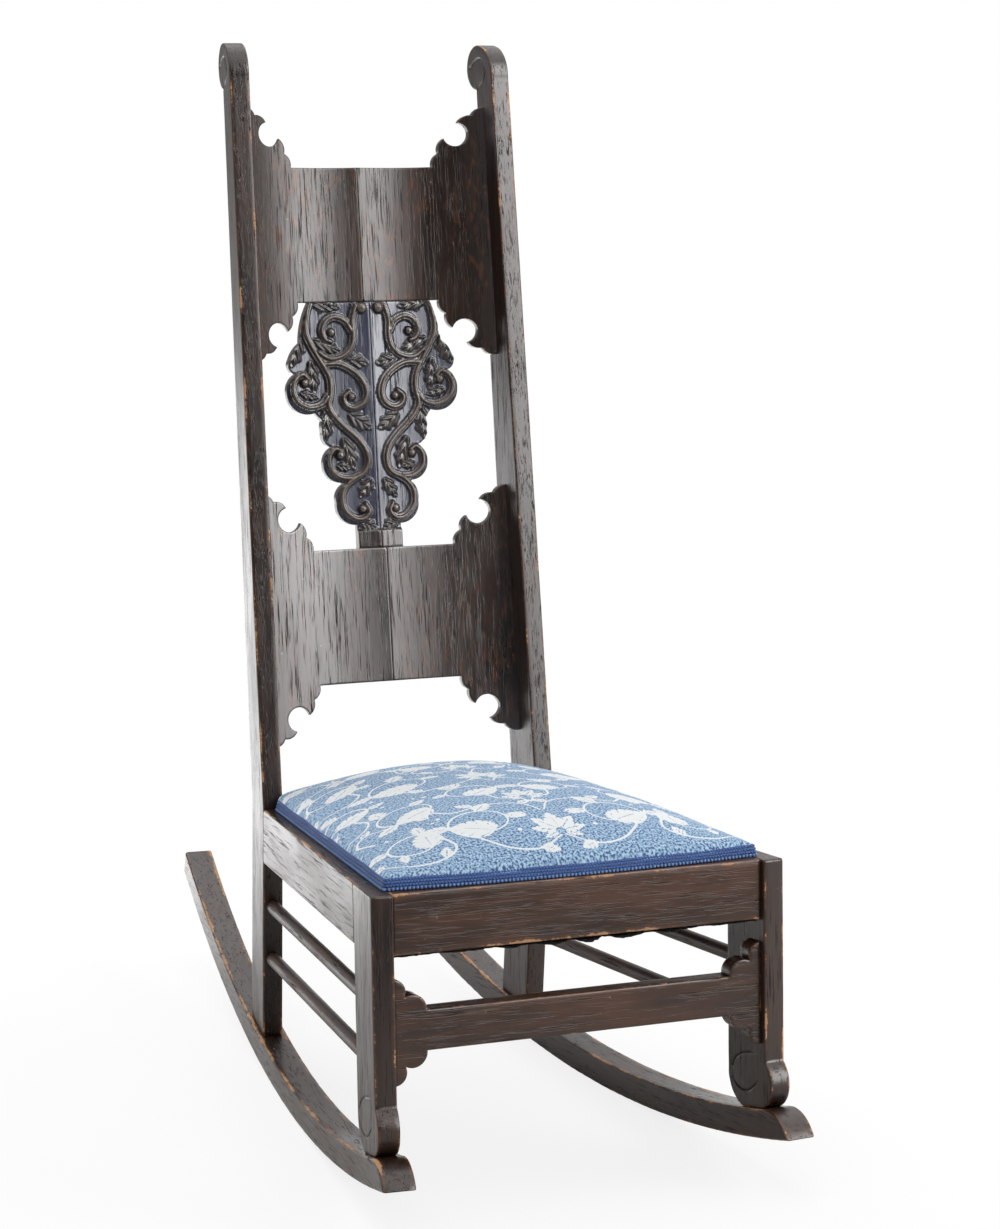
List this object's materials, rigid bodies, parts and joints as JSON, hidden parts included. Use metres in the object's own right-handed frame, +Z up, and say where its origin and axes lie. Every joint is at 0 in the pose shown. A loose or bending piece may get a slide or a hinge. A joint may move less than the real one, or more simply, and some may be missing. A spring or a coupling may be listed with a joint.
{
  "type": "rocking chair",
  "caption": "Armless rocking chair on long curved runners, with plank legs, scrolled posts, a carved splat between cusped back panels and a crowned upholstered seat.",
  "frame": {"origin": "on the floor, under the middle of the chair's box, with the chair at its resting lean", "axes": "+Z up, +X to the sitter's left, the sitter faces -Y"},
  "size_m": [0.4518, 1.012, 1.1194],
  "materials": {
    "ebonised_oak": "semi-gloss ebonised oak with open grain, worn tan at the edges",
    "panel_oak": "semi-gloss ebonised oak with ray fleck",
    "carved_oak": "gloss carved oak, dark hollows and rubbed beads",
    "bare_oak": "unfinished wood",
    "steel": "plain",
    "seat_fabric": "printed cotton, scrolling vines on speckled blue",
    "braid": "woven braid",
    "webbing": "jute",
    "cambric": "thin black cotton"
  },
  "bodies": {
    "root": {"corner_blocks": "bare_oak", "crest_panel_left": "panel_oak", "crest_panel_right": "panel_oak", "dust_cover": "cambric", "front_leg_left": "ebonised_oak", "front_leg_right": "ebonised_oak", "front_rail": "ebonised_oak", "front_stretcher": "ebonised_oak", "lower_panel_left": "panel_oak", "lower_panel_right": "panel_oak", "rail_dowels": "bare_oak", "rear_post_left": "ebonised_oak", "rear_post_right": "ebonised_oak", "rear_rail": "ebonised_oak", "rocker_left": "ebonised_oak", "rocker_right": "ebonised_oak", "rocker_screws": "steel", "seat_braid": "braid", "seat_cushion": "seat_fabric", "seat_webbing": "webbing", "side_rail_left": "ebonised_oak", "side_rail_right": "ebonised_oak", "spindle_lower_left": "ebonised_oak", "spindle_lower_right": "ebonised_oak", "spindle_upper_left": "ebonised_oak", "spindle_upper_right": "ebonised_oak", "splat_left": "carved_oak", "splat_right": "carved_oak"}
  },
  "joints": []
}
